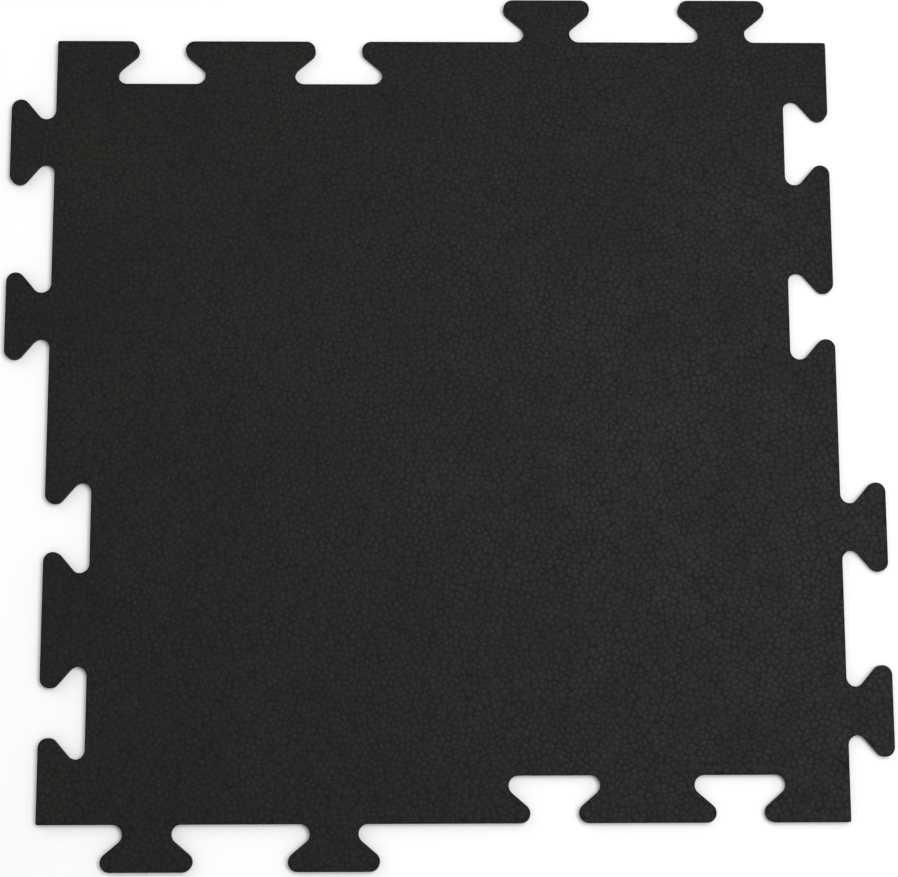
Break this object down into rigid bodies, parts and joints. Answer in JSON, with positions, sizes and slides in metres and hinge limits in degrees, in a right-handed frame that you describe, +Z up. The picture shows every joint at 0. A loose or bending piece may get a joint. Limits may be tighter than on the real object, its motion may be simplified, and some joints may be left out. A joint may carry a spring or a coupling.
{
  "type": "interlocking floor tile",
  "caption": "Square black rubber floor tile with a leather-like grain and paired dovetail tabs and sockets on every edge, so that identical tiles lock together.",
  "frame": {"origin": "middle of the underside, on the floor that the tile lies on", "axes": "+Z up, out of the grained face; X and Y along the tile's edges, with the back edge's sockets towards -X and its tabs towards +X"},
  "size_m": [0.6794, 0.6794, 0.0063],
  "materials": {
    "black_rubber": "matte vulcanised rubber with a fine leather-like pebble grain on top"
  },
  "bodies": {
    "root": {"rubber_tile": "black_rubber"}
  },
  "joints": []
}
